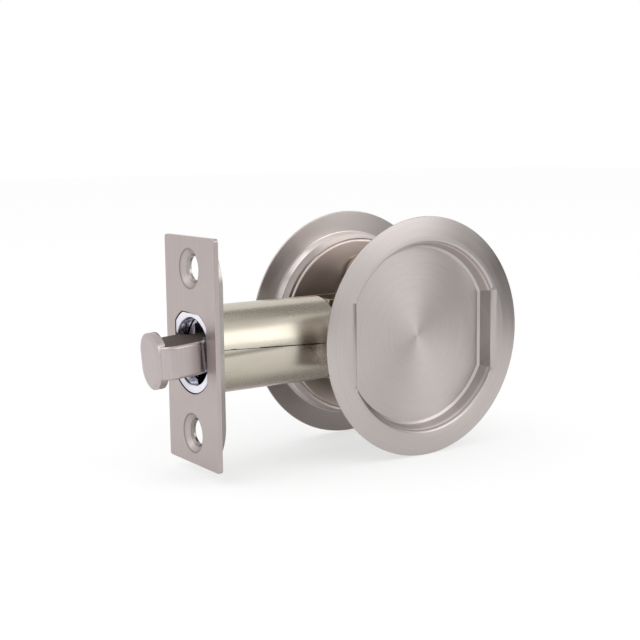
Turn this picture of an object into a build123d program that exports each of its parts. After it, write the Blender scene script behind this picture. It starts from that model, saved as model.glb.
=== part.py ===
# Pocket door lock: an edge pull on a spring-loaded carrier in a tube, and two round flush pulls.
# Millimetres. X runs into the door from the front of the face plate, Z is up.
# The front rose faces -Y and the rear one +Y. The origin is the centre of the face plate's front.

import os
from math import atan, cos, pi, radians, sin, sqrt, tan
from build123d import *

# Door
door_thickness = 34.93
backset = 60.33

# Face plate and the plate behind it
plate_width = 25.4
plate_height = 57.15
plate_thickness = 1.2
plate_corner = 0.8
plate_edge_round = 0.25
back_plate_inset_y = 0.2
back_plate_inset_z = 0.4
back_plate_end_cut = 1.2
back_plate_thickness = 1.2
screw_spacing = 41.3
screw_hole_radius = 3.05
dish_radius = 4.9
dish_depth = 1.75
dish_edge_round = 0.25

# Latch tube
tube_outer_radius = 11.1
tube_wall = 1.0
tube_length = 36.6
tube_edge_round = 0.5
seam_gap = 0.25
seam_height = 0.8
seam_skew = 2.4

# Edge pull, in its own frame with the pin at the origin
bolt_travel = 11.55
droop_angle = 4.4
head_end_gap = 1.35
head_side_step = 1.85
head_thickness = 2.45
head_bevel_width = 1.3
head_bevel_depth = 0.45
head_flare_length = 4.1
head_flare_inset = 0.55
neck_half_height = 4.15
neck_edge_round = 0.9
tongue_half_width = 3.0
shoulder_gap = 0.8

# Collar in the opening
collar_wall = 1.65
bore_edge_round = 0.6
collar_gap = 0.35
collar_recess = 0.15
collar_lip = 0.3
collar_top_wall = 1.1
collar_insertion = 0.8
neck_side_gap = 1.4
opening_side_gap = 1.1

# Carrier, pin, rod and spring
carrier_stop_gap = 0.3
carrier_length = 10.5
nose_length = 0.6
nose_gap = 1.2
pin_inset = 2.9
pin_radius = 1.5
pin_end_inset = 0.4
eye_end_gap = 0.4
rod_radius = 3.0
rod_bite = 2.4
rod_overrun = 1.5
rod_tip_chamfer = 0.5
spring_wire_radius = 0.5
spring_tube_gap = 2.2
spring_turns = 5.5
spring_seat_length = 1.2
running_fit = 0.1
pin_fit = 0.05
seat_fit = 0.05

# Guide plug, buffer and clip at the tube's tail
guide_length = 4.8
spigot_radius = 4.0
peen_lip = 0.5
peen_length = 0.6
buffer_gap = 0.1
buffer_radius = 4.4
buffer_thickness = 1.0
clip_radius = 4.2
clip_thickness = 0.8
clip_bite = 0.6
clip_mouth = 3.4

# Sheet channel behind the tube
sheet = 1.0
channel_half_width = 5.8
channel_step = 0.7
channel_overrun = 8.0
channel_corner = 3.0

# Roses, with heights counted outward from the door's face
rose_radius = 31.75
rose_edge_height = 0.5
rose_face_fall = 0.55
rose_crown = 0.05
rim_land = 1.35
recess_radius = 25.25
recess_flat_inset = 2.45
recess_taper = 1.55
recess_flat_taper = 1.4
recess_edge_round = 0.8
recess_foot = 0.5
recess_foot_step = 0.12
flat_bevel_run = 1.6
flat_bevel_depth = 0.6
boss_wall = 0.75
boss_foot_depth = 0.5
boss_shoulder_depth = 2.0
boss_shoulder_step = 0.7
boss_end_step = 0.35
boss_end_wall = 0.7

# Pans that close the recesses
pan_clearance = 1.3
pan_thickness = 1.7
pan_overhang = 0.4
pan_edge_round = 0.8

# Posts and screws that hold the roses together
post_radius = 3.5
post_gap = 0.3
post_end_gap = 0.4
screw_radius = 2.0
screw_fit = 0.05
screw_pan_fit = 0.2
screw_head_radius = 3.7
screw_head_rim = 0.3
screw_head_sink = 0.1
screw_head_angle = 41
screw_bite = 12
screw_slot_width = 0.9
screw_slot_depth = 1.1
screw_slot_length = 4.4
pad_radius = 5.2
pad_height = 1.2

# Places along X
tube_start = plate_thickness
back_plate_rear = plate_thickness + back_plate_thickness
tube_end = tube_start + tube_length
collar_end = back_plate_rear + collar_insertion
carrier_front = collar_end + carrier_stop_gap
carrier_rear = carrier_front + carrier_length
pin_x = carrier_front + pin_inset
slot_end = pin_x + neck_half_height + eye_end_gap
guide_front = tube_end - guide_length
wall_rear = tube_end + sheet
peen_end = wall_rear + peen_length
buffer_front = peen_end + buffer_gap
clip_front = buffer_front + buffer_thickness
clip_rear = clip_front + clip_thickness
rod_end = clip_rear + rod_overrun
channel_end = backset + channel_overrun

# Radii in and round the tube
tube_inner_radius = tube_outer_radius - tube_wall
collar_barrel_radius = tube_inner_radius - seat_fit
collar_radius = collar_barrel_radius + collar_lip
bore_radius = collar_barrel_radius - collar_wall
head_half_height = bore_radius - head_end_gap
neck_half_width = bore_radius - neck_side_gap
head_half_width = neck_half_width - head_side_step
collar_top = bore_radius + collar_top_wall
collar_flat = neck_half_width + opening_side_gap - collar_gap
carrier_radius = tube_inner_radius - running_fit
nose_radius = bore_radius - nose_gap
spring_radius = tube_inner_radius - spring_tube_gap - spring_wire_radius
pin_length = 2 * (sqrt(carrier_radius**2 - pin_radius**2) - pin_end_inset)
channel_half_height = tube_outer_radius - channel_step

# Places outward from the middle of the door
door_face = door_thickness / 2
pan_back = tube_outer_radius + pan_clearance
pan_front = pan_back + pan_thickness
rose_front = door_face + rose_edge_height + rose_face_fall
recess_depth = rose_front - pan_front
recess_flat = recess_radius - recess_flat_inset
boss_foot = recess_radius + boss_wall
boss_shoulder = boss_foot - boss_shoulder_step
boss_end = boss_shoulder - boss_end_step
pan_radius = boss_end - boss_end_wall
pan_joint = pan_back + pan_overhang
post_offset = channel_half_height + post_radius + post_gap

# Frames: plates are drawn looking along X, roses looking outward from the door
front_side = Plane((backset, 0, 0), x_dir=(1, 0, 0), z_dir=(0, -1, 0))
rear_side = Plane((backset, 0, 0), x_dir=(-1, 0, 0), z_dir=(0, 1, 0))


def rod_along_x(radius, start, end):
    """A round bar on the tube's axis."""
    return extrude(Plane.YZ.offset(start) * Circle(radius), end - start)


def ring_along_x(outer, inner, start, end):
    """A round ring on the tube's axis."""
    return extrude(Plane.YZ.offset(start) * (Circle(outer) - Circle(inner)), end - start)


def flatted_circle(radius, half_width, top):
    """A circle cut by two upright flats and a level one above."""
    bottom = -radius
    return Circle(radius) & Pos(0, (top + bottom) / 2) * Rectangle(2 * half_width, top - bottom)


def screw_dishes():
    """The two countersinks, as deep as they reach through both plates."""
    dishes = []
    for side in (1, -1):
        place = Pos(0, side * screw_spacing / 2)
        mouth = Plane.YZ * (place * Circle(dish_radius))
        throat = Plane.YZ.offset(dish_depth) * (place * Circle(screw_hole_radius))
        dishes.append(loft([mouth.face(), throat.face()]))
        dishes.append(extrude(throat, plate_thickness + back_plate_thickness))
    return dishes


def edges_near(shape, axis, value, within=0.01):
    """The edges that lie whole in one plane across an axis."""
    return shape.edges().filter_by_position(axis, value - within, value + within)


def faceplate():
    plane = Plane.YZ
    outline = RectangleRounded(plate_width, plate_height, plate_corner)
    plate = extrude(plane * outline, plate_thickness)
    plate = fillet(edges_near(plate, Axis.X, 0), plate_edge_round)
    opening = flatted_circle(collar_radius + collar_gap, collar_flat + collar_gap, collar_top + collar_gap)
    plate -= extrude(plane * opening, plate_thickness)
    plate -= screw_dishes()
    mouths = edges_near(plate, Axis.X, 0).filter_by(GeomType.CIRCLE)
    mouths = mouths.filter_by(lambda edge: abs(edge.radius - dish_radius) < seat_fit)
    return fillet(mouths, dish_edge_round)


def back_plate():
    plane = Plane.YZ.offset(plate_thickness)
    width = plate_width - 2 * back_plate_inset_y
    height = plate_height - 2 * back_plate_inset_z
    full_height = height + 2 * back_plate_end_cut
    outline = Rot(0, 0, 90) * SlotOverall(full_height, width) & Rectangle(width, height)
    outline -= Circle(tube_outer_radius + seat_fit)
    return extrude(plane * outline, back_plate_thickness) - screw_dishes()


def latch_tube():
    tube = ring_along_x(tube_outer_radius, tube_inner_radius, tube_start, tube_end)
    rim = edges_near(tube, Axis.X, tube_end).sort_by(SortBy.LENGTH)[-1]
    tube = fillet(rim, tube_edge_round)
    seam = Rot(0, seam_skew, 0) * Box(2 * tube_length, 4 * tube_wall, seam_gap)
    return tube - Pos(tube_start + tube_length / 2, -tube_outer_radius, seam_height) * seam


def bolt_collar():
    outline = flatted_circle(collar_radius, collar_flat, collar_top)
    collar = extrude(Plane.YZ.offset(collar_recess) * outline, plate_thickness - collar_recess)
    collar += rod_along_x(collar_barrel_radius, plate_thickness, collar_end)
    collar -= rod_along_x(bore_radius, collar_recess, collar_end)
    mouth = edges_near(collar, Axis.X, collar_recess).filter_by(GeomType.CIRCLE)
    mouth = mouth.filter_by(lambda edge: edge.radius < bore_radius + seat_fit)
    return fillet(mouth, bore_edge_round)


def head_outline(inset):
    """Upright, with straight sides and round ends."""
    length = 2 * (head_half_height - inset)
    width = 2 * (head_half_width - inset)
    return Rot(0, 0, 90) * SlotOverall(length, width)


def hook_bolt():
    """The head, the neck with rounded shoulders, and the eye round the pin."""
    reach = pin_x + bolt_travel
    bevel_back = head_bevel_depth - reach
    shoulder_round = neck_half_width - tongue_half_width
    shoulder_end = carrier_front - nose_length - shoulder_gap - pin_x
    shoulder_start = shoulder_end - shoulder_round

    flare_start = (bevel_back, head_half_width - head_flare_inset)
    flare_end = (bevel_back + head_flare_length, neck_half_width)
    flank = TangentArc(flare_end, flare_start, tangent=(-1, 0))
    flank += Polyline(flare_end, (shoulder_start, neck_half_width), (shoulder_start, 0),
                      (bevel_back, 0), flare_start)
    half = make_face(flank)
    plan = half + mirror(half, Plane.XZ)
    for side in (1, -1):
        plan += Pos(shoulder_start, side * tongue_half_width) * Circle(shoulder_round)
    plan += Pos((shoulder_start + shoulder_end) / 2, 0) * Rectangle(
        shoulder_end - shoulder_start, 2 * tongue_half_width)
    neck = extrude(plan, neck_half_height, both=True)
    long_edges = neck.edges().group_by(Axis.Z)[0] + neck.edges().group_by(Axis.Z)[-1]
    long_edges = long_edges.filter_by(lambda edge: abs(edge.center().Y) > tongue_half_width)
    neck = fillet(long_edges, neck_edge_round)

    side_view = Pos(shoulder_start / 2, 0) * Rectangle(-shoulder_start, 2 * neck_half_height)
    side_view += Circle(neck_half_height)
    neck += extrude(Plane.XZ * side_view, tongue_half_width, both=True)
    neck -= extrude(Plane.XZ * Circle(pin_radius + pin_fit), neck_half_width, both=True)

    head = extrude(Plane.YZ.offset(bevel_back) * head_outline(0), head_thickness - head_bevel_depth)
    bevel_base = Plane.YZ.offset(bevel_back) * head_outline(0)
    bevel_face = Plane.YZ.offset(-reach) * head_outline(head_bevel_width)
    head += loft([bevel_face.face(), bevel_base.face()], ruled=True)
    return Pos(pin_x, 0, 0) * Rot(0, -droop_angle, 0) * (head + neck)


def bolt_carrier():
    carrier = rod_along_x(carrier_radius, carrier_front, carrier_rear)
    carrier += rod_along_x(nose_radius, carrier_front - nose_length, carrier_front)
    carrier += rod_along_x(spring_radius - spring_wire_radius - running_fit, carrier_rear,
                           carrier_rear + spring_seat_length)
    slot_start = carrier_front - nose_length
    slot = Box(slot_end - slot_start, 2 * (tongue_half_width + running_fit), 2 * carrier_radius)
    carrier -= Pos((slot_start + slot_end) / 2, 0, 0) * slot
    carrier -= rod_along_x(rod_radius, carrier_rear - rod_bite, carrier_rear + spring_seat_length)
    cross_hole = Plane.XZ * Pos(pin_x, 0) * Circle(pin_radius)
    return carrier - extrude(cross_hole, carrier_radius, both=True)


def pivot_pin():
    return extrude(Plane.XZ * Pos(pin_x, 0) * Circle(pin_radius), pin_length / 2, both=True)


def pull_rod():
    rod = rod_along_x(rod_radius, carrier_rear - rod_bite, rod_end)
    rod = chamfer(edges_near(rod, Axis.X, rod_end), rod_tip_chamfer)
    return rod - ring_along_x(rod_radius, rod_radius - clip_bite, clip_front, clip_rear)


def bolt_spring():
    length = guide_front - carrier_rear - 2 * spring_wire_radius
    pitch = length / spring_turns
    start = carrier_rear + spring_wire_radius
    coil = Plane.YZ.offset(start) * Helix(pitch, length, spring_radius)
    section = Plane(coil @ 0, z_dir=coil % 0) * Circle(spring_wire_radius)
    return sweep(section, path=coil, is_frenet=True)


def tail_guide():
    guide = rod_along_x(tube_inner_radius - seat_fit, guide_front, tube_end)
    guide += rod_along_x(spring_radius - spring_wire_radius - running_fit,
                         guide_front - spring_seat_length, guide_front)
    guide += rod_along_x(spigot_radius, tube_end, wall_rear)
    guide += rod_along_x(spigot_radius + peen_lip, wall_rear, peen_end)
    bore = rod_along_x(rod_radius + running_fit, guide_front - spring_seat_length, peen_end)
    return guide - bore


def buffer_washer():
    return ring_along_x(buffer_radius, rod_radius, buffer_front, clip_front)


def rod_clip():
    clip = ring_along_x(clip_radius, rod_radius - clip_bite, clip_front, clip_rear)
    mouth = Box(clip_thickness, clip_mouth, clip_radius)
    return clip - Pos((clip_front + clip_rear) / 2, 0, clip_radius / 2) * mouth


def tail_housing():
    """Two cheeks and a floor, open above, with a front wall against the tube."""
    length = channel_end - tube_end
    middle = Pos(tube_end + length / 2, 0, 0)
    channel = middle * Box(length, 2 * channel_half_width, 2 * channel_half_height)
    corners = channel.edges().filter_by(Axis.Y).group_by(Axis.X)[-1]
    channel = fillet(corners, channel_corner)
    hollow = Box(length, 2 * (channel_half_width - sheet), 2 * channel_half_height)
    channel -= Pos(sheet, 0, sheet) * middle * hollow
    return channel - rod_along_x(spigot_radius + seat_fit, tube_end, wall_rear)


def rose_section():
    """Half of the ring's section: distance from its axis, and height over the door's face."""
    low = pan_joint - door_face
    edge = rose_edge_height / 2
    rim = (rose_radius - edge, rose_edge_height)
    land = (recess_radius + rim_land, rose_front - door_face)
    middle = ((rim[0] + land[0]) / 2, (rim[1] + land[1]) / 2 + rose_crown)
    outline = Polyline((0, land[1]), (0, low), (boss_end, low), (boss_shoulder, -boss_shoulder_depth),
                       (boss_foot, -boss_foot_depth), (boss_foot, 0), (rim[0], 0))
    outline += ThreePointArc((rim[0], 0), (rose_radius, edge), rim)
    outline += ThreePointArc(rim, middle, land)
    outline += Line(land, (0, land[1]))
    return make_face(Plane.XZ * outline)


def recess_outline(depth, inset=0):
    """The recess across, at a depth below the ring's front: round with two flats."""
    share = depth / recess_depth
    radius = recess_radius - recess_taper * share - inset
    flat = recess_flat - recess_flat_taper * share - inset
    height = rose_front - door_face - depth
    outline = Circle(radius) & Rectangle(2 * flat, 2 * radius)
    return (Plane.XY.offset(height) * outline).face()


def rim_rounding():
    """What is turned off the recess's round edges, from a section tangent to its wall."""
    top = rose_front - door_face
    lean = atan(recess_taper / recess_depth)
    run = recess_edge_round / tan((pi / 2 + lean) / 2)
    on_face = (recess_radius + run, top)
    on_wall = (recess_radius - run * sin(lean), top - run * cos(lean))
    inside = on_wall[0] - recess_edge_round
    above = top + recess_edge_round
    section = RadiusArc(on_wall, on_face, recess_edge_round)
    section += Polyline(on_face, (on_face[0], above), (inside, above), (inside, on_wall[1]), on_wall)
    width = 2 * recess_flat
    length = 4 * recess_radius
    return revolve(make_face(Plane.XZ * section), Axis.Z) & Box(width, length, length)


def flat_bevels():
    """What is milled off the edges of the recess's two flats, ending square at their corners."""
    top = rose_front - door_face
    half_length = sqrt(recess_radius**2 - recess_flat**2)
    low = recess_flat - recess_flat_taper * flat_bevel_depth / recess_depth
    outer = recess_flat + flat_bevel_run
    section = TangentArc((outer, top), (low, top - flat_bevel_depth), tangent=(-1, 0))
    section += Polyline((low, top - flat_bevel_depth), (low, top + flat_bevel_depth),
                        (outer, top + flat_bevel_depth), (outer, top))
    bevel = extrude(Plane.XZ * make_face(section), half_length, both=True)
    return bevel + Rot(0, 0, 180) * bevel


def rose(side):
    foot_end = recess_depth - recess_foot_step
    foot_start = foot_end - recess_foot
    pan_seat = pan_front - pan_joint
    ring = revolve(rose_section(), Axis.Z)
    ring -= Pos(0, 0, pan_joint - door_face) * Cylinder(pan_radius + seat_fit, 2 * pan_seat)
    ring -= loft([recess_outline(-recess_depth / 2), recess_outline(foot_start)], ruled=True)
    ring -= loft([recess_outline(foot_start), recess_outline(foot_end, recess_foot)], ruled=True)
    ring -= extrude(recess_outline(recess_depth, recess_foot), recess_foot_step)
    ring -= rim_rounding()
    ring -= flat_bevels()
    return side * Pos(0, 0, door_face) * ring


def pan(side):
    disc = Pos(0, 0, pan_back + pan_thickness / 2) * Cylinder(pan_radius, pan_thickness)
    return side * fillet(edges_near(disc, Axis.Z, pan_back), pan_edge_round)


def front_cup():
    return pan(front_side)


def head_cone(gap, rim):
    """A screw head's cone under the pan's floor, grown by a gap, with a short straight rim."""
    top = pan_front - screw_head_sink
    radius = screw_head_radius + gap
    drop = (screw_head_radius - screw_radius) / tan(radians(screw_head_angle))
    mouth = Plane.XY.offset(top - screw_head_rim) * Circle(radius)
    throat = Plane.XY.offset(top - screw_head_rim - drop) * Circle(screw_radius + gap)
    cone = loft([throat.face(), mouth.face()])
    return cone + extrude(mouth, rim)


def rear_cup():
    cup = pan(Plane.XY)
    for height in (post_offset, -post_offset):
        pad = Pos(0, height, pan_back - pad_height / 2) * Cylinder(pad_radius, pad_height)
        cup += pad
        cup -= Pos(0, height, 0) * head_cone(screw_pan_fit, 2 * screw_head_rim)
        cup -= Pos(0, height, pan_back) * Cylinder(screw_radius + screw_pan_fit, 4 * pan_thickness)
    return rear_side * cup


def post(height):
    length = 2 * pan_back - pad_height - post_end_gap
    body = Pos(0, 0, pan_back - length / 2) * Cylinder(post_radius, length)
    bore_depth = screw_bite + screw_radius
    bore = Pos(0, 0, pan_back - length + bore_depth / 2) * Cylinder(screw_radius + screw_fit, bore_depth)
    return front_side * Pos(0, height, 0) * (body - bore)


def screw(height):
    top = pan_front - screw_head_sink
    start = pan_back - pad_height - post_end_gap - screw_bite
    shank = Pos(0, 0, (start + pan_back) / 2) * Cylinder(screw_radius, pan_back - start)
    body = shank + head_cone(0, screw_head_rim)
    slot = Box(screw_slot_length, screw_slot_width, 2 * screw_slot_depth)
    body -= Pos(0, 0, top) * slot
    body -= Pos(0, 0, top) * Rot(0, 0, 90) * slot
    return rear_side * Pos(0, height, 0) * body


nodes = {
    "faceplate": faceplate(),
    "back_plate": back_plate(),
    "latch_tube": latch_tube(),
    "bolt_collar": bolt_collar(),
    "hook_bolt": hook_bolt(),
    "bolt_carrier": bolt_carrier(),
    "pivot_pin": pivot_pin(),
    "pull_rod": pull_rod(),
    "bolt_spring": bolt_spring(),
    "tail_guide": tail_guide(),
    "buffer_washer": buffer_washer(),
    "rod_clip": rod_clip(),
    "tail_housing": tail_housing(),
    "front_rose": rose(front_side),
    "rear_rose": rose(rear_side),
    "front_cup": front_cup(),
    "rear_cup": rear_cup(),
    "upper_post": post(post_offset),
    "lower_post": post(-post_offset),
    "upper_screw": screw(post_offset),
    "lower_screw": screw(-post_offset),
}

os.makedirs("parts", exist_ok=True)
for name, shape in nodes.items():
    export_step(shape, f"parts/{name}.step")
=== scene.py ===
import math

import bpy
from mathutils import Matrix, Vector


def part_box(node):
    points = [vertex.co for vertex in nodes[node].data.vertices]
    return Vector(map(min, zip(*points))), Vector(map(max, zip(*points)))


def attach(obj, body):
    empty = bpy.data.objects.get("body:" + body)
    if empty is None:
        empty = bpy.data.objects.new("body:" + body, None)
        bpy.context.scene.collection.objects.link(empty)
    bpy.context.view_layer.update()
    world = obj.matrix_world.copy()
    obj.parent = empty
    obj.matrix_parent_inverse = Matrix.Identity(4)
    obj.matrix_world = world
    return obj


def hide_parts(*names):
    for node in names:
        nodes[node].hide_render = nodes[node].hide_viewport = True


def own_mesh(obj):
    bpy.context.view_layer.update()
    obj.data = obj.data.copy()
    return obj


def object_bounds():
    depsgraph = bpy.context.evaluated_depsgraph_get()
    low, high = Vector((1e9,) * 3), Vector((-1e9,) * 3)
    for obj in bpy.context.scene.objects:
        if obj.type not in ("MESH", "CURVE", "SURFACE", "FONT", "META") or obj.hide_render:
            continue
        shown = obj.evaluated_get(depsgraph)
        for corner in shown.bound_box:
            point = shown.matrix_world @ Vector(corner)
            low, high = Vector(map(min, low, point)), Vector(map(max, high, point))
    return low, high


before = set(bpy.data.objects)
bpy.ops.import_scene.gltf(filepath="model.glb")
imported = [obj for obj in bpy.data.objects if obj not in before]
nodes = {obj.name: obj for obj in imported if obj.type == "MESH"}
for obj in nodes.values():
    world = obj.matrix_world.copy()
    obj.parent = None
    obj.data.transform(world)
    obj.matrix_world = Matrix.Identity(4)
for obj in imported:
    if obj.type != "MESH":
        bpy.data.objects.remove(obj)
cad_low, cad_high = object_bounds()
MM = 0.001

# Camera: where the photograph was taken from, in the part's own frame
CAMERA_PLACE = Vector((-139.076, -261.864, 50.077)) * MM
CAMERA_AZIMUTH = -34.178
CAMERA_ELEVATION = 8.208
CAMERA_ROLL = -0.629
FOCAL_LENGTH = 67.876
SENSOR_WIDTH = 36.0
NEAREST_SHOWN = 0.01

# Places that the finishes follow; a pair is where a change of tone starts and where it is complete
rose_low, rose_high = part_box("front_rose")
tube_low, tube_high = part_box("latch_tube")
head_low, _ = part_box("hook_bolt")
_, screw_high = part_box("upper_screw")
ROSE_CENTRE = Vector(((rose_low.x + rose_high.x) / 2, 0, 0))
TUBE_RADIUS = tube_high.z

# Backs of the roses and their pans: depths from the door's middle, radii and heights; the bands of
# radii carry a painted highlight, and over the heights painted shade darkens the backs towards the
# bottom
FLANGE_BACK = (17.62 * MM, 17.52 * MM)
PAN_BACK = (13.6 * MM, 13.0 * MM)
BOSS_OUTSIDE = (24.6 * MM, 24.85 * MM)
BOSS_HIGHLIGHT_BAND = (26.2 * MM, 26.05 * MM)
PAN_HIGHLIGHT_BAND = (19.5 * MM, 24.0 * MM)
BACK_SHADE_RISE = (-18 * MM, 10 * MM)

# The recess's far wall: the way it faces, and how much painted shade it takes
WALL_SHADED_SIDE = Vector((-0.9, 0, 0.436))
WALL_FACING = (0.72, 0.90)
WALL_SHADE_SHARE = 0.55

# The bolt's neck, from behind the head, and its faces that look up or down, which carry a painted
# dark reflection
NECK_SPAN = (head_low.x + 1.9 * MM, head_low.x + 2.2 * MM)
LEVEL_FACING = (0.80, 0.97)

# The face plate's dished screw holes, and the painted shadow in a ring round each
HOLE_HEIGHT = 20.65 * MM
HOLE_DISH_RADIUS = 4.9 * MM
HOLE_SHADOW_WIDTH = 0.4 * MM
HOLE_SHADOW_SHARE = 0.8

# The tube: painted shade that turns its lower side olive and its underside rosy brown, and the
# stain along its slightly slanting seam
OLIVE_SHADE_RISE = (-TUBE_RADIUS, TUBE_RADIUS * 0.1)
OLIVE_SHADE_SHARE = 0.45
ROSY_SHADE_RISE = (-TUBE_RADIUS, -TUBE_RADIUS * 0.45)
ROSY_SHADE_SHARE = 0.9
SEAM_MIDDLE = Vector(((tube_low.x + tube_high.x) / 2, 0, 0.8 * MM))
SEAM_SLOPE = math.tan(math.radians(2.4))
SEAM_STAIN = 0.95 * MM
SEAM_FADE = (18 * MM, 25 * MM)
SEAM_SHARE = 0.75

# The cross recess below the face of the screw heads, which takes painted shade
RECESS_SHADE_SPAN = (screw_high.y - 0.9 * MM, screw_high.y - 0.25 * MM)

# Grain of the finishes, in marks to a metre
RING_GRAIN = 4200.0
RING_CLOUDS = 90.0
BRUSH_GRAIN = 3200.0
BRUSH_GRAIN_ALONG = 60.0
BRUSH_CLOUDS = 160.0
ZINC_STAINS = 130.0
ZINC_SPECKLE = 1500.0
CAST_GRAIN = 1100.0
CAST_CLOUDS = 140.0
RUBBER_GRAIN = 2200.0

# Marks to a radian round the rings, and how stains are drawn out along the tube
RING_GRAIN_ALONG = 1.6
STAIN_STRETCH = 0.35

# Heights of the grain
RING_HEIGHT = 0.0025 * MM
BRUSH_HEIGHT = 0.004 * MM
CAST_HEIGHT = 0.01 * MM
RUBBER_HEIGHT = 0.03 * MM
BRUSH_BUMP = 0.5
CAST_BUMP = 0.4

# Where noise lies for the most part, for tones, streaks, clouds and stains
NOISE_SPAN = (0.3, 0.7)
STREAK_SPAN = (0.25, 0.75)
CLOUD_SPAN = (0.35, 0.7)
STAIN_SPAN = (0.35, 0.75)
STAIN_SHARE = 0.5

# Roughness: a range where a finish has its own, else a change from the finish's figure
RING_ROUGHNESS = (0.30, 0.40)
BACK_SMOOTHER = 0.03
BRUSH_CHANGE = (-0.04, 0.05)
CAST_CHANGE = (-0.03, 0.05)
CLOUD_CHANGE = (-0.02, 0.03)
LEVEL_ROUGHER = 0.30
ZINC_ROUGHNESS = (0.24, 0.26)
STAIN_ROUGHER = 0.05
RING_ANISOTROPY = 0.75
BRUSH_ANISOTROPY = 0.5

# Colours in linear light
NICKEL = (0.505, 0.457, 0.44, 1)
NICKEL_PALE = (0.555, 0.512, 0.50, 1)
NICKEL_BACK = (0.53, 0.485, 0.465, 1)
# Painted shade at the bottom of the roses' backs, and a painted highlight on the boss
NICKEL_BACK_PAINTED_SHADE = (0.38, 0.345, 0.325, 1)
NICKEL_BOSS_PAINTED_HIGHLIGHT = (0.88, 0.82, 0.80, 1)
# The pans' backs: nickel darkened as a painted dark reflection, with painted shade towards the
# bottom and a painted highlight near the edge
NICKEL_PAN_BACK_PAINTED_REFLECTION = (0.42, 0.35, 0.31, 1)
NICKEL_PAN_PAINTED_SHADE = (0.26, 0.22, 0.195, 1)
NICKEL_PAN_EDGE_PAINTED_HIGHLIGHT = (0.58, 0.50, 0.46, 1)
# Painted shade for the recess's far wall
WALL_PAINTED_SHADE = (0.20, 0.18, 0.165, 1)
PLATE_NICKEL = (0.45, 0.39, 0.375, 1)
PLATE_NICKEL_PALE = (0.50, 0.44, 0.425, 1)
# Painted shadow round the face plate's dished screw holes
HOLE_PAINTED_SHADOW = (0.20, 0.175, 0.165, 1)
BOLT_NICKEL = (0.46, 0.405, 0.40, 1)
BOLT_NICKEL_PALE = (0.51, 0.455, 0.45, 1)
# Painted dark reflection for the bolt neck's faces that look up or down
NECK_PAINTED_REFLECTION = (0.10, 0.08, 0.072, 1)
ZINC_CREAM = (0.575, 0.53, 0.455, 1)
# Olive for the zinc's stains and for painted shade on its lower side; rosy brown is painted shade
# on its underside
ZINC_OLIVE_STAIN_AND_SHADE = (0.415, 0.385, 0.305, 1)
ZINC_ROSY_PAINTED_SHADE = (0.29, 0.225, 0.185, 1)
SEAM_DARK = (0.22, 0.20, 0.17, 1)
ZINC_GREY = (0.38, 0.355, 0.33, 1)
# Dark grey for the dull zinc's stains and its painted shade towards the bottom
ZINC_GREY_STAIN_AND_SHADE = (0.27, 0.25, 0.23, 1)
ZINC_BRIGHT = (0.80, 0.79, 0.86, 1)
ZINC_BRIGHT_DULL = (0.62, 0.62, 0.68, 1)
STEEL = (0.52, 0.51, 0.50, 1)
STEEL_DARK = (0.36, 0.35, 0.34, 1)
SCREW_NICKEL = (0.60, 0.57, 0.53, 1)
# Painted shade in the screws' cross recesses
RECESS_PAINTED_SHADE = (0.05, 0.045, 0.04, 1)
POST_ZINC = (0.55, 0.55, 0.57, 1)
RUBBER = (0.018, 0.018, 0.020, 1)
RUBBER_PALE = (0.03, 0.03, 0.03, 1)
FLOOR_WHITE = (0.96, 0.96, 0.96, 1)
WHITE = (1, 1, 1, 1)
FLAG_DARK = (0.03, 0.027, 0.025, 1)
FLAG_MIDDLE = (0.25, 0.24, 0.23, 1)


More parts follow.
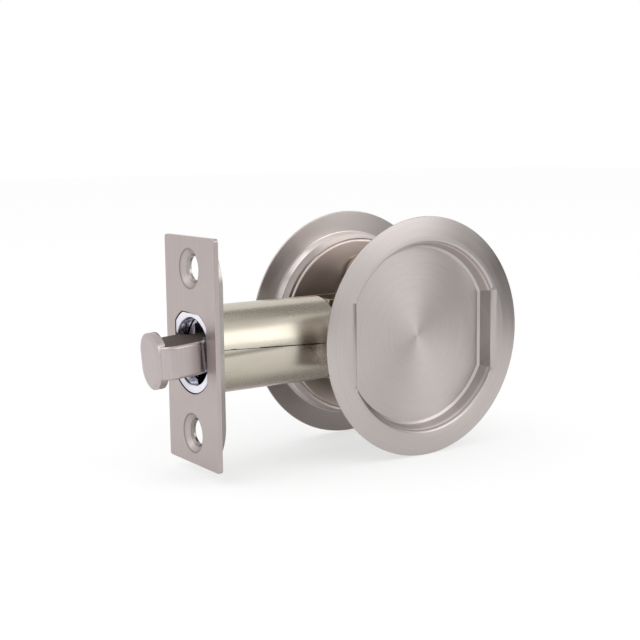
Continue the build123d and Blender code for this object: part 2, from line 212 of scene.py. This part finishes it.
class Graph:
    """Adds and links the shader nodes of one material or world."""

    def __init__(self, tree):
        self.tree = tree
        tree.nodes.clear()

    def set(self, socket, value):
        """Gives a socket a value, or links another node's socket to it."""
        if isinstance(value, bpy.types.NodeSocket):
            self.tree.links.new(value, socket)
        else:
            socket.default_value = value

    def add(self, kind, inputs=None, **settings):
        """Makes a node; inputs maps names or numbers of sockets to what each is given."""
        node = self.tree.nodes.new(kind)
        for name, value in settings.items():
            setattr(node, name, value)
        for name, value in (inputs or {}).items():
            self.set(node.inputs[name], value)
        return node

    def math(self, operation, *values):
        return self.add("ShaderNodeMath", dict(enumerate(values)), operation=operation).outputs[0]

    def vector(self, operation, *values):
        node = self.add("ShaderNodeVectorMath", dict(enumerate(values)), operation=operation)
        return node.outputs["Value" if operation in ("LENGTH", "DOT_PRODUCT") else "Vector"]

    def scale(self, vector, factor):
        node = self.add("ShaderNodeVectorMath", {0: vector, "Scale": factor}, operation="SCALE")
        return node.outputs["Vector"]

    def place(self):
        """The point on the surface, in metres in the part's frame; it moves with its body."""
        return self.add("ShaderNodeTexCoord").outputs["Object"]

    def normal(self):
        """The way the surface faces, in the part's frame; it turns with its body."""
        return self.add("ShaderNodeTexCoord").outputs["Normal"]

    def split(self, vector):
        return self.add("ShaderNodeSeparateXYZ", {0: vector}).outputs

    def join(self, x, y, z):
        return self.add("ShaderNodeCombineXYZ", {0: x, 1: y, 2: z}).outputs[0]

    def noise(self, vector, scale, detail=2.0, roughness=0.5):
        node = self.add("ShaderNodeTexNoise", {"Vector": vector, "Scale": scale,
                                               "Detail": detail, "Roughness": roughness})
        return node.outputs["Fac"]

    def spread(self, value, low, high, start=0.0, end=1.0, smooth=False):
        """Maps value from low..high to start..end, held at both ends."""
        node = self.add("ShaderNodeMapRange", {"Value": value, "From Min": low, "From Max": high,
                                               "To Min": start, "To Max": end},
                        interpolation_type="SMOOTHSTEP" if smooth else "LINEAR")
        return node.outputs["Result"]

    def blend(self, factor, first, second):
        """A colour between two colours; the mix node's inputs 6 and 7 are its two colours."""
        node = self.add("ShaderNodeMix", data_type="RGBA")
        self.set(node.inputs["Factor"], factor)
        self.set(node.inputs[6], first)
        self.set(node.inputs[7], second)
        return node.outputs[2]

    def bump(self, height, distance, strength):
        node = self.add("ShaderNodeBump", {"Height": height, "Distance": distance,
                                           "Strength": strength})
        return node.outputs["Normal"]

    def to_world(self, vector):
        node = self.add("ShaderNodeVectorTransform", {0: vector}, vector_type="VECTOR",
                        convert_from="OBJECT", convert_to="WORLD")
        return node.outputs[0]

    def surface(self, **inputs):
        """Puts a Principled shader on the material's output."""
        names = {name.replace("_", " "): value for name, value in inputs.items()}
        shader = self.add("ShaderNodeBsdfPrincipled", names)
        self.add("ShaderNodeOutputMaterial", {"Surface": shader.outputs["BSDF"]})


def new_material(name):
    material = bpy.data.materials.new(name)
    material.use_nodes = True
    return material, Graph(material.node_tree)


def turned_nickel(name, back_painted_shade, back_high, band_painted_highlight, band):
    """Satin nickel brushed in circles round the roses' axis.

    Towards the door it is left as it came from the press, with painted shade: back_painted_shade
    at the bottom and back_high at the top, and a painted highlight, band_painted_highlight, from
    the second radius of band on, away from the first."""
    material, g = new_material(name)
    offset = g.vector("SUBTRACT", g.place(), ROSE_CENTRE)
    x, y, z = g.split(offset)
    flat = g.join(x, 0.0, z)
    radius = g.vector("LENGTH", flat)
    outward = g.vector("NORMALIZE", flat)

    # Streaks that run round the axis: fine across the radius and long along the turn
    turn_x, _, turn_z = g.split(g.scale(outward, RING_GRAIN_ALONG))
    across = g.math("MULTIPLY", radius, RING_GRAIN)
    streak = g.noise(g.join(across, turn_x, turn_z), 1.0, 3.0, 0.6)
    clouds = g.noise(offset, RING_CLOUDS)

    # The pressed back: behind the pan, and behind the flange outside the boss
    depth = g.math("ABSOLUTE", y)
    outside = g.math("MULTIPLY", g.spread(depth, *FLANGE_BACK), g.spread(radius, *BOSS_OUTSIDE))
    back = g.math("MAXIMUM", g.spread(depth, *PAN_BACK), outside)
    # Painted shade darkens the back towards the bottom, and a painted highlight brightens one band
    # of radii
    back_with_painted_light = g.blend(g.spread(z, *BACK_SHADE_RISE), back_painted_shade, back_high)
    back_with_painted_light = g.blend(g.spread(radius, *band), back_with_painted_light, band_painted_highlight)

    colour = g.blend(g.spread(streak, *NOISE_SPAN), NICKEL, NICKEL_PALE)
    colour = g.blend(back, colour, back_with_painted_light)
    # Painted shade on the recess walls that face the shaded side
    facing = g.vector("DOT_PRODUCT", g.normal(), WALL_SHADED_SIDE)
    painted_wall_shade = g.spread(facing, *WALL_FACING, 0.0, WALL_SHADE_SHARE, smooth=True)
    colour = g.blend(painted_wall_shade, colour, WALL_PAINTED_SHADE)

    rough = g.math("ADD", g.spread(streak, *STREAK_SPAN, *RING_ROUGHNESS),
                   g.spread(clouds, *NOISE_SPAN, *CLOUD_CHANGE))
    rough = g.math("SUBTRACT", rough, g.math("MULTIPLY", back, BACK_SMOOTHER))
    height = g.math("MULTIPLY", streak, g.math("SUBTRACT", 1.0, back))
    g.surface(Base_Color=colour, Metallic=1.0, Roughness=rough, Anisotropic=RING_ANISOTROPY,
              Tangent=g.to_world(outward), Normal=g.bump(height, RING_HEIGHT, BRUSH_BUMP))
    return material


def brushed_nickel(name, along, colours, roughness, level_painted_reflection=None, hole_painted_shadow=None):
    """Nickel brushed along one axis of the part.

    level_painted_reflection is a painted dark reflection on the neck's faces that look up or down,
    which are also rougher, and hole_painted_shadow a painted shadow in a ring round each screw
    hole."""
    material, g = new_material(name)
    point = g.place()
    axes = g.split(point)
    fine = [g.math("MULTIPLY", axes[i], BRUSH_GRAIN_ALONG if i == along else BRUSH_GRAIN)
            for i in range(3)]
    streak = g.noise(g.join(*fine), 1.0, 2.0, 0.6)
    clouds = g.noise(point, BRUSH_CLOUDS)
    colour = g.blend(g.spread(streak, *NOISE_SPAN), *colours)
    low, high = (roughness + change for change in BRUSH_CHANGE)
    rough = g.math("ADD", g.spread(streak, *STREAK_SPAN, low, high),
                   g.spread(clouds, *NOISE_SPAN, *CLOUD_CHANGE))
    # Painted dark reflection on the neck's faces that look up or down, which are also rougher
    if level_painted_reflection:
        upright = g.math("ABSOLUTE", g.split(g.normal())[2])
        level = g.spread(upright, *LEVEL_FACING, smooth=True)
        painted_neck_reflection = g.math("MULTIPLY", level, g.spread(axes[0], *NECK_SPAN))
        colour = g.blend(painted_neck_reflection, colour, level_painted_reflection)
        rough = g.math("ADD", rough, g.math("MULTIPLY", level, LEVEL_ROUGHER))
    # Painted shadow in a ring round each dished screw hole
    if hole_painted_shadow:
        beyond = g.math("SUBTRACT", g.math("ABSOLUTE", axes[2]), HOLE_HEIGHT)
        radius = g.vector("LENGTH", g.join(0.0, axes[1], beyond))
        from_edge = g.math("ABSOLUTE", g.math("SUBTRACT", radius, HOLE_DISH_RADIUS))
        painted_hole_shadow = g.spread(from_edge, 0.0, HOLE_SHADOW_WIDTH, HOLE_SHADOW_SHARE, 0.0, smooth=True)
        colour = g.blend(painted_hole_shadow, colour, hole_painted_shadow)
    across = [0.0 if i == along else 1.0 for i in range(3)]
    g.surface(Base_Color=colour, Metallic=1.0, Roughness=rough, Anisotropic=BRUSH_ANISOTROPY,
              Tangent=g.to_world(g.join(*across)), Normal=g.bump(streak, BRUSH_HEIGHT, BRUSH_BUMP))
    return material


def plated_zinc(name, cream, olive, rosy, seam_dark):
    """Yellow passivated zinc: cream, drifting to olive in long soft stains, with painted shade
    that turns it olive and then rosy brown towards the underside.
    """
    material, g = new_material(name)
    point = g.place()
    x, y, z = g.split(point)
    stain = g.noise(g.join(g.math("MULTIPLY", x, STAIN_STRETCH), y, z), ZINC_STAINS, 3.0)
    speckle = g.noise(point, ZINC_SPECKLE, 3.0, 0.6)
    # Painted shade: olive on the lower side and rosy brown on the underside
    low = g.spread(z, *OLIVE_SHADE_RISE, 1.0, 0.0, smooth=True)
    share = g.math("ADD", g.math("MULTIPLY", low, OLIVE_SHADE_SHARE),
                   g.spread(stain, *STAIN_SPAN, 0.0, STAIN_SHARE))
    colour = g.blend(share, cream, olive)
    painted_underside_shade = g.spread(z, *ROSY_SHADE_RISE, ROSY_SHADE_SHARE, 0.0, smooth=True)
    colour = g.blend(painted_underside_shade, colour, rosy)

    # The stain lies on the front side only, and fades towards the tube's far end
    seam_rise = g.math("MULTIPLY", g.math("SUBTRACT", x, SEAM_MIDDLE.x), SEAM_SLOPE)
    above_seam = g.math("SUBTRACT", g.math("SUBTRACT", z, SEAM_MIDDLE.z), seam_rise)
    from_seam = g.math("ABSOLUTE", above_seam)
    stained = g.spread(from_seam, 0.0, SEAM_STAIN, SEAM_SHARE, 0.0, smooth=True)
    stained = g.math("MULTIPLY", stained, g.spread(x, *SEAM_FADE, 1.0, 0.0))
    stained = g.math("MULTIPLY", stained, g.math("LESS_THAN", y, 0.0))
    colour = g.blend(stained, colour, seam_dark)

    rough = g.math("ADD", g.spread(speckle, *NOISE_SPAN, *ZINC_ROUGHNESS),
                   g.spread(stain, *NOISE_SPAN, 0.0, STAIN_ROUGHER))
    g.surface(Base_Color=colour, Metallic=1.0, Roughness=rough)
    return material


def cast_metal(name, bright, dull, roughness, grain=CAST_GRAIN, grain_height=CAST_HEIGHT,
               metallic=1.0, deep_painted_shade=None):
    """Plain plated metal with a fine grain and soft cloudy changes of tone.

    deep_painted_shade is a painted shade on what lies below the face of the screw heads."""
    material, g = new_material(name)
    point = g.place()
    speckle = g.noise(point, grain, 3.0, 0.6)
    clouds = g.noise(point, CAST_CLOUDS)
    colour = g.blend(g.spread(clouds, *CLOUD_SPAN), bright, dull)
    # Painted shade below the face of the screw heads
    if deep_painted_shade:
        painted_recess_shade = g.spread(g.split(point)[1], *RECESS_SHADE_SPAN, 1.0, 0.0)
        colour = g.blend(painted_recess_shade, colour, deep_painted_shade)
    low, high = (roughness + change for change in CAST_CHANGE)
    rough = g.math("ADD", g.spread(speckle, *NOISE_SPAN, low, high),
                   g.spread(clouds, *NOISE_SPAN, *CLOUD_CHANGE))
    g.surface(Base_Color=colour, Metallic=metallic, Roughness=rough,
              Normal=g.bump(speckle, grain_height, CAST_BUMP))
    return material


def plain_matt(name, colour):
    material, g = new_material(name)
    g.surface(Base_Color=colour, Roughness=0.9, Specular_IOR_Level=0.0)
    return material


def studio_floor(name, colour, lift, mirrored_lift):
    """Matt white that takes shadows, lifted towards white for the camera and in reflections."""
    material, g = new_material(name)
    rays = g.add("ShaderNodeLightPath").outputs
    mirrored = g.math("MAXIMUM", rays["Is Glossy Ray"], rays["Is Transmission Ray"])
    lifted = g.math("MAXIMUM", g.math("MULTIPLY", rays["Is Camera Ray"], lift),
                    g.math("MULTIPLY", mirrored, mirrored_lift))
    matt = g.add("ShaderNodeBsdfDiffuse", {"Color": colour}).outputs[0]
    white = g.add("ShaderNodeEmission", {"Color": WHITE, "Strength": 1.0}).outputs[0]
    mixed = g.add("ShaderNodeMixShader", {0: lifted, 1: matt, 2: white})
    g.add("ShaderNodeOutputMaterial", {"Surface": mixed.outputs[0]})
    return material


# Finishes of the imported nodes
Z_AXIS = 2
rose_nickel = turned_nickel("turned_rose_nickel", NICKEL_BACK_PAINTED_SHADE, NICKEL_BACK, NICKEL_BOSS_PAINTED_HIGHLIGHT,
                            BOSS_HIGHLIGHT_BAND)
pan_nickel = turned_nickel("turned_pan_nickel", NICKEL_PAN_PAINTED_SHADE, NICKEL_PAN_BACK_PAINTED_REFLECTION, NICKEL_PAN_EDGE_PAINTED_HIGHLIGHT,
                           PAN_HIGHLIGHT_BAND)
plate_nickel = brushed_nickel("plate_brushed_nickel", Z_AXIS, (PLATE_NICKEL, PLATE_NICKEL_PALE),
                              0.36, hole_painted_shadow=HOLE_PAINTED_SHADOW)
bolt_nickel = brushed_nickel("bolt_brushed_nickel", Z_AXIS, (BOLT_NICKEL, BOLT_NICKEL_PALE),
                             0.32, level_painted_reflection=NECK_PAINTED_REFLECTION)
zinc = plated_zinc("yellow_zinc_plate", ZINC_CREAM, ZINC_OLIVE_STAIN_AND_SHADE, ZINC_ROSY_PAINTED_SHADE, SEAM_DARK)
back_zinc = plated_zinc("dull_zinc_plate", ZINC_GREY, ZINC_GREY_STAIN_AND_SHADE, ZINC_GREY_STAIN_AND_SHADE, ZINC_GREY)
bright_zinc = cast_metal("bright_zinc_plate", ZINC_BRIGHT, ZINC_BRIGHT_DULL, 0.16)
steel = cast_metal("drawn_steel", STEEL, STEEL_DARK, 0.28)
post_zinc = cast_metal("die_cast_zinc", POST_ZINC, STEEL_DARK, 0.42)
screw_nickel = cast_metal("screw_nickel_plate", SCREW_NICKEL, STEEL, 0.22, deep_painted_shade=RECESS_PAINTED_SHADE)
rubber = cast_metal("black_rubber_skin", RUBBER, RUBBER_PALE, 0.6, grain=RUBBER_GRAIN,
                    grain_height=RUBBER_HEIGHT, metallic=0.0)

FINISHES = {
    rose_nickel: ("front_rose", "rear_rose"),
    pan_nickel: ("front_cup", "rear_cup"),
    plate_nickel: ("faceplate",),
    bolt_nickel: ("hook_bolt",),
    zinc: ("latch_tube", "tail_housing"),
    back_zinc: ("back_plate",),
    bright_zinc: ("bolt_collar", "bolt_carrier", "tail_guide"),
    steel: ("pivot_pin", "pull_rod", "rod_clip", "bolt_spring"),
    post_zinc: ("upper_post", "lower_post"),
    screw_nickel: ("upper_screw", "lower_screw"),
    rubber: ("buffer_washer",),
}
for finish, names in FINISHES.items():
    for node_name in names:
        for slot in nodes[node_name].material_slots:
            slot.material = finish


# The spring: a helix of round wire in the tube, built at one fixed length, though the real spring
# shortens as the bolt goes in
def coil_spring(name, low, high, wire_radius, turns, steps_round=10, steps_turn=48):
    """A closed mesh of a compression spring along X that fills the box from low to high."""
    coil_radius = high.z - wire_radius
    length = high.x - low.x - 2 * wire_radius
    count = int(turns * steps_turn)
    verts = []
    for i in range(count + 1):
        angle = 2 * math.pi * i / steps_turn
        centre = Vector((low.x + wire_radius + length * i / count,
                         coil_radius * math.cos(angle), coil_radius * math.sin(angle)))
        outward = Vector((0, math.cos(angle), math.sin(angle)))
        for k in range(steps_round):
            turn = 2 * math.pi * k / steps_round
            rim = outward * math.cos(turn) + Vector((math.sin(turn), 0, 0))
            verts.append(centre + wire_radius * rim)
    faces = []
    for i in range(count):
        for k in range(steps_round):
            a = i * steps_round + k
            b = i * steps_round + (k + 1) % steps_round
            faces.append((a, b, b + steps_round, a + steps_round))
    faces.append(tuple(reversed(range(steps_round))))
    faces.append(tuple(count * steps_round + k for k in range(steps_round)))
    mesh = bpy.data.meshes.new(name)
    mesh.from_pydata(verts, [], faces)
    mesh.validate()
    mesh.shade_smooth()
    mesh.materials.append(steel)
    piece = bpy.data.objects.new(name, mesh)
    bpy.context.scene.collection.objects.link(piece)
    return piece


SPRING_WIRE = 0.5 * MM
SPRING_TURNS = 5.5
spring_low, spring_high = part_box("bolt_spring")
spring = coil_spring("return_spring", spring_low, spring_high, SPRING_WIRE, SPRING_TURNS)
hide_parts("bolt_spring")
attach(spring, "lock_case")
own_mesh(spring)


# Studio: a white floor, a white surround, soft lamps, and three flags for the metal to show
def panel(name, centre, target, width, height, material):
    """A flat rectangle at centre that faces target."""
    corners = [(-width / 2, -height / 2, 0), (width / 2, -height / 2, 0),
               (width / 2, height / 2, 0), (-width / 2, height / 2, 0)]
    mesh = bpy.data.meshes.new(name)
    mesh.from_pydata(corners, [], [(0, 1, 2, 3)])
    mesh.materials.append(material)
    flat = bpy.data.objects.new(name, mesh)
    bpy.context.scene.collection.objects.link(flat)
    flat.location = centre
    flat.rotation_euler = (target - centre).to_track_quat("Z", "Y").to_euler()
    return flat


def soft_lamp(name, centre, target, width, height, level):
    """A rectangular lamp whose face is level times as bright as white."""
    lamp = bpy.data.lights.new(name, "AREA")
    lamp.shape = "RECTANGLE"
    lamp.size = width
    lamp.size_y = height
    lamp.energy = level * math.pi * width * height
    holder = bpy.data.objects.new(name, lamp)
    bpy.context.scene.collection.objects.link(holder)
    holder.location = centre
    holder.rotation_euler = (target - centre).to_track_quat("-Z", "Y").to_euler()
    holder.visible_camera = False


def towards(azimuth, elevation):
    """A direction by its angle from +X about Z and its height over the floor, in degrees."""
    a, e = math.radians(azimuth), math.radians(elevation)
    return Vector((math.cos(a) * math.cos(e), math.sin(a) * math.cos(e), math.sin(e)))


FLOOR_SIZE = 6.0
FLOOR_LIFT = 0.62
FLOOR_LIFT_MIRRORED = 0.2
floor_white = studio_floor("floor_white", FLOOR_WHITE, FLOOR_LIFT, FLOOR_LIFT_MIRRORED)
panel("floor", Vector((0, 0, rose_low.z)), Vector((0, 0, 1)), FLOOR_SIZE, FLOOR_SIZE, floor_white)

part_middle = (cad_low + cad_high) / 2
dark = plain_matt("flag_dark", FLAG_DARK)
middle = plain_matt("flag_middle", FLAG_MIDDLE)

# Each with its azimuth, elevation, distance, width, height, and its surface or level
FLAGS = (
    ("flag_right", -27, 3.5, 0.27, 0.20, 0.10, dark),
    ("flag_front", -97, -0.5, 0.45, 0.37, 0.055, dark),
    ("flag_top", 12, 57, 0.45, 0.30, 0.14, middle),
)
LAMPS = (
    ("key_lamp", -58, 29, 0.60, 0.34, 0.34, 1.5),
    ("left_lamp", 167, 30, 0.60, 0.30, 0.30, 0.8),
    ("top_lamp", 178, 66, 0.60, 0.30, 0.30, 1.5),
)
for flag_name, turned, raised, distance, width, height, surface in FLAGS:
    flag = panel(flag_name, part_middle + towards(turned, raised) * distance, part_middle,
                 width, height, surface)
    flag.visible_camera = False
for lamp_name, turned, raised, distance, width, height, level in LAMPS:
    soft_lamp(lamp_name, part_middle + towards(turned, raised) * distance, part_middle,
              width, height, level)

world = bpy.data.worlds.new("surround")
bpy.context.scene.world = world
world.use_nodes = True
surround = Graph(world.node_tree)
background = surround.add("ShaderNodeBackground", {"Color": WHITE, "Strength": 1.0})
surround.add("ShaderNodeOutputWorld", {"Surface": background.outputs[0]})

# Camera
azimuth, elevation = math.radians(CAMERA_AZIMUTH), math.radians(CAMERA_ELEVATION)
towards_camera = Vector((math.sin(azimuth) * math.cos(elevation),
                         -math.cos(azimuth) * math.cos(elevation), math.sin(elevation)))
camera_data = bpy.data.cameras.new("camera")
camera_data.lens = FOCAL_LENGTH
camera_data.sensor_width = SENSOR_WIDTH
camera_data.clip_start = NEAREST_SHOWN
camera = bpy.data.objects.new("camera", camera_data)
bpy.context.scene.collection.objects.link(camera)
aim = (-towards_camera).to_track_quat("-Z", "Y").to_matrix().to_4x4()
roll = Matrix.Rotation(math.radians(CAMERA_ROLL), 4, "Z")
camera.matrix_world = Matrix.Translation(CAMERA_PLACE) @ aim @ roll
bpy.context.scene.camera = camera

bpy.context.scene.view_settings.view_transform = "Standard"
